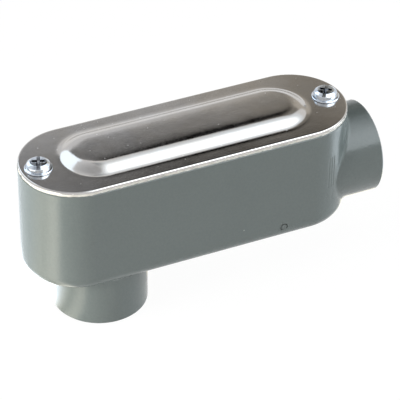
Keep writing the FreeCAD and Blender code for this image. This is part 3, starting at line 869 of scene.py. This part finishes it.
def paintDarkCard(tree):
    # darkest high up near the middle, lighter low down and towards its sides, and warm on its right
    across, up, _ = cardPlace(tree)
    low = calc(tree, "MULTIPLY", rangeOf(tree, up, -0.080, -0.040, 0.62, 0.0),
               rangeOf(tree, across, 0.02, 0.065, 1.0, 0.58))
    fromMiddle = calc(tree, "ABSOLUTE", calc(tree, "SUBTRACT", across, 0.042))
    side = rangeOf(tree, fromMiddle, 0.03, 0.13, 0.0, 0.28)
    warmth = rangeOf(tree, across, -0.05, 0.07)
    return blendColours(tree, warmth, (0.97, 0.98, 1.0), (1.0, 0.93, 0.82)), calc(tree, "ADD", low, side)


def paintOverhead(tree):
    # brightest in its lower half, and dimmer close to its right edge
    across, up, _ = cardPlace(tree)
    border = rangeOf(tree, across, 0.60, 0.45, 0.55, 1.0)
    bright = rangeOf(tree, up, -0.10, 0.35, 4.6, 1.2)
    return (0.91, 0.96, 1.0), calc(tree, "MULTIPLY", bright, calc(tree, "POWER", border, 2.0))


def paintCeiling(tree):
    # a grey patch that ends sharply on its right and fades into the white room on its other sides
    across, up, _ = cardPlace(tree)
    inside = calc(tree, "MULTIPLY", rangeOf(tree, across, -0.30, 0.0),
                  rangeOf(tree, calc(tree, "ABSOLUTE", up), 0.42, 0.12))
    return (0.95, 0.97, 1.0), calc(tree, "MULTIPLY_ADD", inside, -0.40, 1.0)


def paintBackLeft(tree):
    # even and cool
    return (0.80, 0.90, 1.0), 2.2


fanValues = {   # degrees round the closed end's axis, 0 at the left and more towards the front
    "near": (0.046, 0.032), "nearTwist": 12.0,   # in metres; close in, the fan is turned by the twist
    "opens": (42.0, 31.0), "fades": (24.0, 8.0), "cools": (2.0, -26.0), "ends": (-110.0, -80.0),
    "warm": (1.0, 0.96, 0.84), "cool": (0.86, 0.93, 1.0), "room": (1.0, 1.0, 1.0),
}


def paintFloorGlow(tree):
    # a fan of light on the floor beside the closed end: warm towards the front, cool behind
    v = fanValues
    x, y, _ = cardPlace(tree)
    around = calc(tree, "ARCTAN2", calc(tree, "MULTIPLY", y, -1.0), calc(tree, "MULTIPLY", x, -1.0))
    away = calc(tree, "SQRT", calc(tree, "ADD", calc(tree, "MULTIPLY", x, x), calc(tree, "MULTIPLY", y, y)))
    near = rangeOf(tree, away, *v["near"])
    turn = calc(tree, "DEGREES", around)
    shifted = calc(tree, "SUBTRACT", turn, calc(tree, "MULTIPLY", near, v["nearTwist"]))
    opening = rangeOf(tree, shifted, *v["opens"])
    fading = rangeOf(tree, shifted, *v["fades"], 1.0, calc(tree, "MULTIPLY_ADD", near, -0.3, 0.4))
    behind = calc(tree, "MULTIPLY", rangeOf(tree, shifted, *v["cools"]), rangeOf(tree, turn, *v["ends"]))
    warm = calc(tree, "MULTIPLY", calc(tree, "MULTIPLY", opening, fading),
                calc(tree, "MULTIPLY_ADD", near, -1.2, 3.2))
    cool = calc(tree, "MULTIPLY", behind, calc(tree, "MULTIPLY_ADD", near, 4.6, -0.85))
    strength = calc(tree, "ADD", calc(tree, "ADD", warm, cool), 1.0)
    colour = blendColours(tree, behind, v["warm"], v["cool"])
    return blendColours(tree, opening, v["room"], colour), strength


def paintSideGlow(tree):
    # pale light lying beside the end hub, fading towards its upper and lower edges
    fromMiddle = calc(tree, "ABSOLUTE", cardPlace(tree)[1])
    inside = rangeOf(tree, fromMiddle, 0.038, 0.022)
    return (0.86, 0.94, 1.0), calc(tree, "MULTIPLY_ADD", inside, 1.8, 1.03)


lampValues = {   # watts, size, place, colour
    "overheadSoftbox": (1.0, 0.6, (0.10, -0.10, 0.70), (1, 1, 1)),
    "leftSoftbox": (6.0, 0.45, (-0.60, -0.02, 0.22), (1.0, 0.97, 0.90)),
    "frontSoftbox": (1.45, 0.6, (0.05, -0.80, 0.20), (1, 1, 1)),
    "rightSoftbox": (4.0, 0.3, (0.83, -0.07, 0.20), (0.84, 0.94, 1.0)),
}

cardValues = {   # width, height, place, the way it faces, what it shows
    "rearDarkCard": (0.62, 0.50, (0.202, 0.363, 0.40), (-0.421, -0.907, 0), paintDarkCard),
    "overheadCard": (1.2, 1.0, (0.64, -0.17, 0.58), (0, 0.29, -0.89), paintOverhead),
    "ceilingCard": (0.60, 0.85, (-0.27, -0.10, 0.60), (0, 0, -1), paintCeiling),
    "backLeftCard": (0.30, 0.5, (-0.20, 0.42, 0.40), (0.42, -0.90, -0.5), paintBackLeft),
    "floorGlow": (0.30, 0.30, (-0.004, 0.0, 0.0005), (0, 0, 1), paintFloorGlow),
    "sideGlow": (0.09, 0.078, (0.191, -0.022, 0.0006), (0, 0, 1), paintSideGlow),
}


def makeFloor():
    # shows white by itself, and keeps the object's shadow
    v = studioValues
    floor = newObject("floor", planeMesh("floor", v["floorSize"], v["floorSize"]))
    finish, tree, shader = startFinish("paleFloor", Base_Color=(v["floorColour"],) * 3, Roughness=0.9)
    glow = addNode(tree, "ShaderNodeEmission", i0=(1, 1, 1), i1=v["floorGlow"])
    share = calc(tree, "MULTIPLY", seenDirectly(tree), v["floorGlowShare"])
    both = addNode(tree, "ShaderNodeMixShader", i0=share, i1=shader.outputs[0], i2=glow.outputs[0])
    tree.links.new(both.outputs[0], tree.nodes["Material Output"].inputs["Surface"])
    floor.data.materials.append(finish)


def makeStudio():
    world = bpy.data.worlds.new("studio")
    world.use_nodes = True
    scene.world = world
    tree = world.node_tree
    strength = rangeOf(tree, seenDirectly(tree), 0.0, 1.0, studioValues["fill"], 1.0)
    feed(tree, tree.nodes["Background"].inputs["Strength"], strength)
    feed(tree, tree.nodes["Background"].inputs["Color"], (1, 1, 1))
    makeFloor()
    for name, lamp in lampValues.items():
        areaLamp(name, *lamp)
    for name, card in cardValues.items():
        mirrorCard(name, *card)


makeStudio()
print("studio ready")

scene.view_settings.view_transform = "Standard"

print("scene ready")
